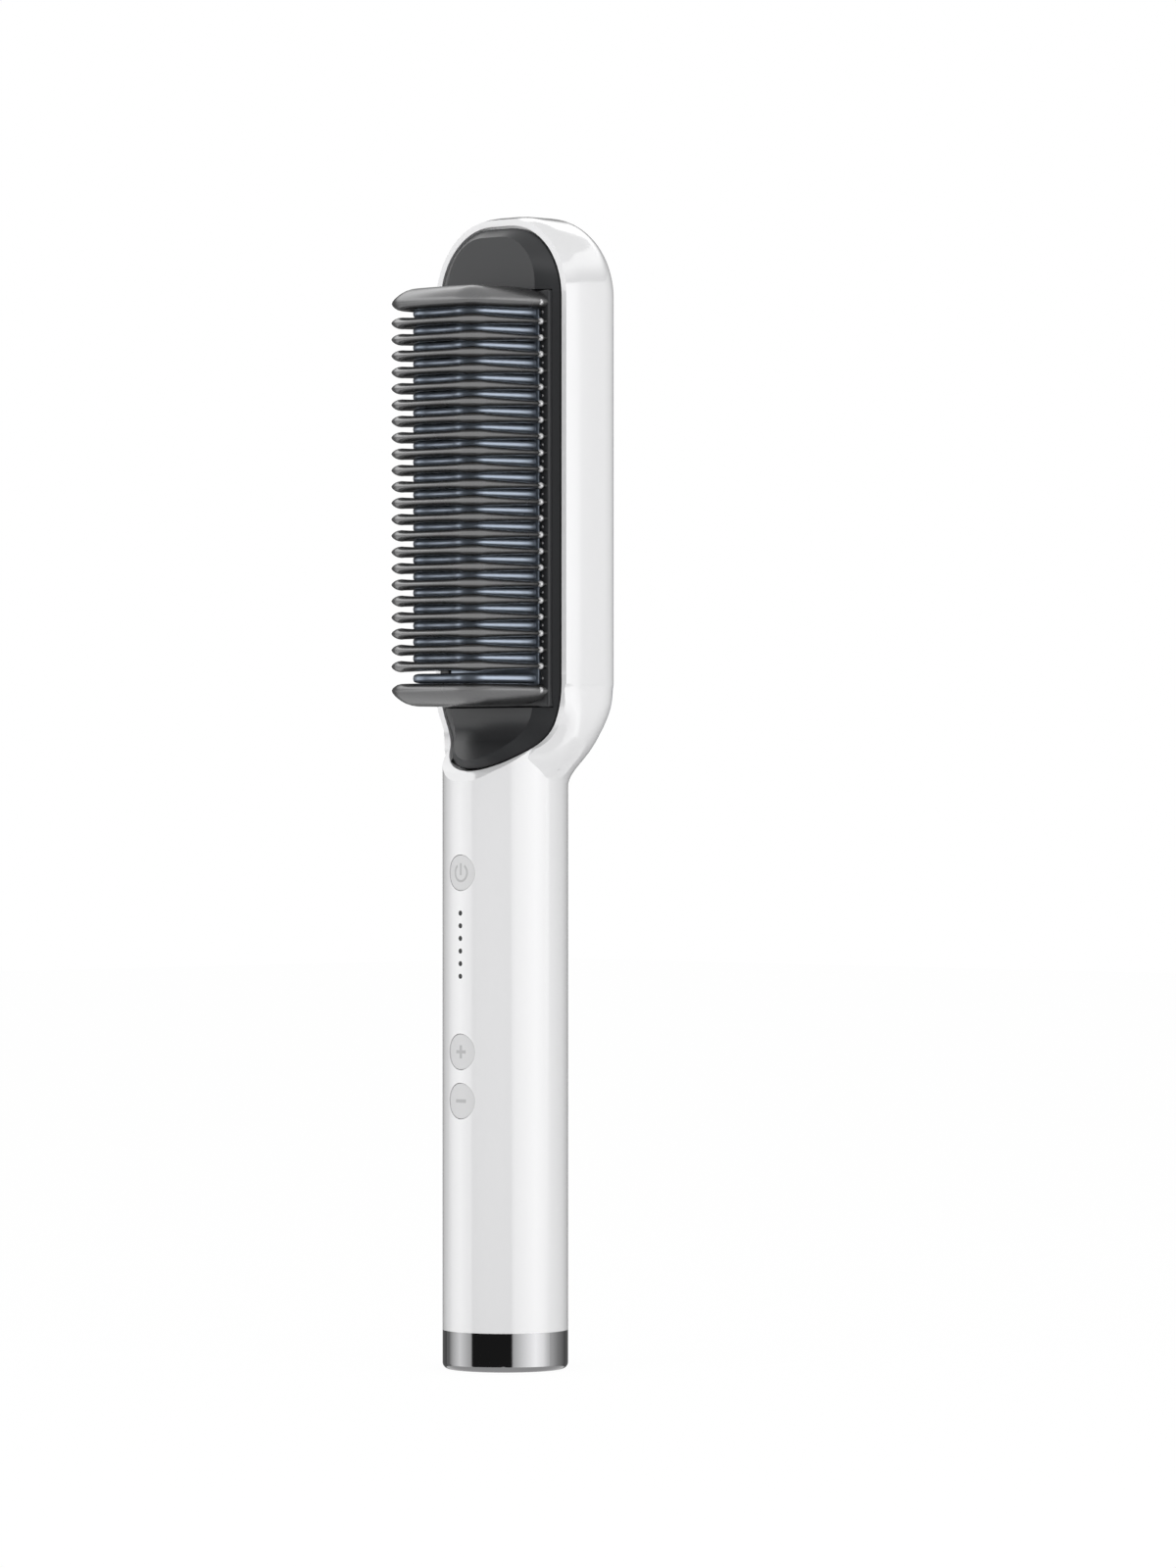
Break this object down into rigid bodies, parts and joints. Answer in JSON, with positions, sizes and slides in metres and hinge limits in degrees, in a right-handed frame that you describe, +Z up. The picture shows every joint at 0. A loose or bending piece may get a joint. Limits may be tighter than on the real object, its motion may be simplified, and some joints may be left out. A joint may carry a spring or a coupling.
{
  "type": "heated hair straightening comb",
  "caption": "Heated straightening comb: round white handle, long stadium head, dark ribbed guard over metal heating fins, sprung push buttons and a swivel cord entry in a chrome end ring.",
  "frame": {"origin": "centre of the end ring's base on the handle's axis, at the mouth of the cord entry", "axes": "+Z up along the handle towards the head, comb faces -Y, +X to the right when looking along +Y"},
  "size_m": [0.0486, 0.0478, 0.2897],
  "materials": {
    "shell_white": "high-gloss pearl white",
    "cover_graphite": "satin dark graphite",
    "screw_steel": "zinc-plated steel",
    "trim_metal": "satin silver-grey plating",
    "panel_white": "high-gloss white",
    "guard_graphite": "satin dark graphite",
    "fin_metal": "ceramic-coated blue-grey aluminium",
    "heater_ceramic": "white fired ceramic",
    "clamp_steel": "spring steel",
    "frame_black": "black heat-resistant plastic",
    "fuse_metal": "plain metal case",
    "sensor_glass": "glass bead",
    "lead_white": "silicone insulated wire",
    "bezel_grey": "gloss light grey",
    "switch_black": "black moulding",
    "lamp_clear": "clear resin",
    "light_window": "smoked dark window plastic",
    "board_green": "green solder mask",
    "carrier_white": "natural white plastic",
    "component_black": "moulded component bodies",
    "connector_white": "natural white plastic",
    "ring_chrome": "dark polished chrome plating",
    "cap_black": "satin black",
    "holder_black": "black heat-resistant plastic",
    "button_grey": "fine-textured light grey",
    "gland_black": "satin black",
    "clip_steel": "zinc-plated spring steel",
    "contact_brass": "bare brass"
  },
  "bodies": {
    "comb_body": {"main_housing": "shell_white", "front_cover": "cover_graphite", "cover_screws": "screw_steel", "trim_ring": "trim_metal", "back_panel": "panel_white", "comb_guard": "guard_graphite", "heating_fins": "fin_metal", "ceramic_heater": "heater_ceramic", "heater_clamp": "clamp_steel", "inner_frame": "frame_black", "frame_screws": "screw_steel", "thermal_fuse": "fuse_metal", "temperature_sensor": "sensor_glass", "heater_leads": "lead_white", "button_bezels": "bezel_grey", "tact_switches": "switch_black", "status_lights": "lamp_clear", "light_pipe": "light_window", "control_board": "board_green", "board_screws": "screw_steel", "board_carrier": "carrier_white", "power_parts": "component_black", "wire_connectors": "connector_white", "end_ring": "ring_chrome", "end_cap": "cap_black", "cap_screws": "screw_steel", "contact_holder": "holder_black", "contact_leaves": "contact_brass", "supply_leads": "lead_white"},
    "power_key": {"power_button": "button_grey"},
    "plus_key": {"plus_button": "button_grey"},
    "minus_key": {"minus_button": "button_grey"},
    "cord_swivel": {"swivel_gland": "gland_black", "gland_clip": "clip_steel", "slip_rings": "contact_brass"}
  },
  "joints": [
    {"name": "power_press", "type": "slide", "parent": "comb_body", "child": "power_key", "axis": [0, 1, 0], "range_m": [0, 0.0006], "stiffness_N_per_m": 1500, "springref_m": -0.0004},
    {"name": "plus_press", "type": "slide", "parent": "comb_body", "child": "plus_key", "axis": [0, 1, 0], "range_m": [0, 0.0006], "stiffness_N_per_m": 1500, "springref_m": -0.0004},
    {"name": "minus_press", "type": "slide", "parent": "comb_body", "child": "minus_key", "axis": [0, 1, 0], "range_m": [0, 0.0006], "stiffness_N_per_m": 1500, "springref_m": -0.0004},
    {"name": "cord_turn", "type": "hinge", "parent": "comb_body", "child": "cord_swivel", "pos_m": [0, 0, 0.005], "axis": [0, 0, 1], "continuous": true}
  ]
}
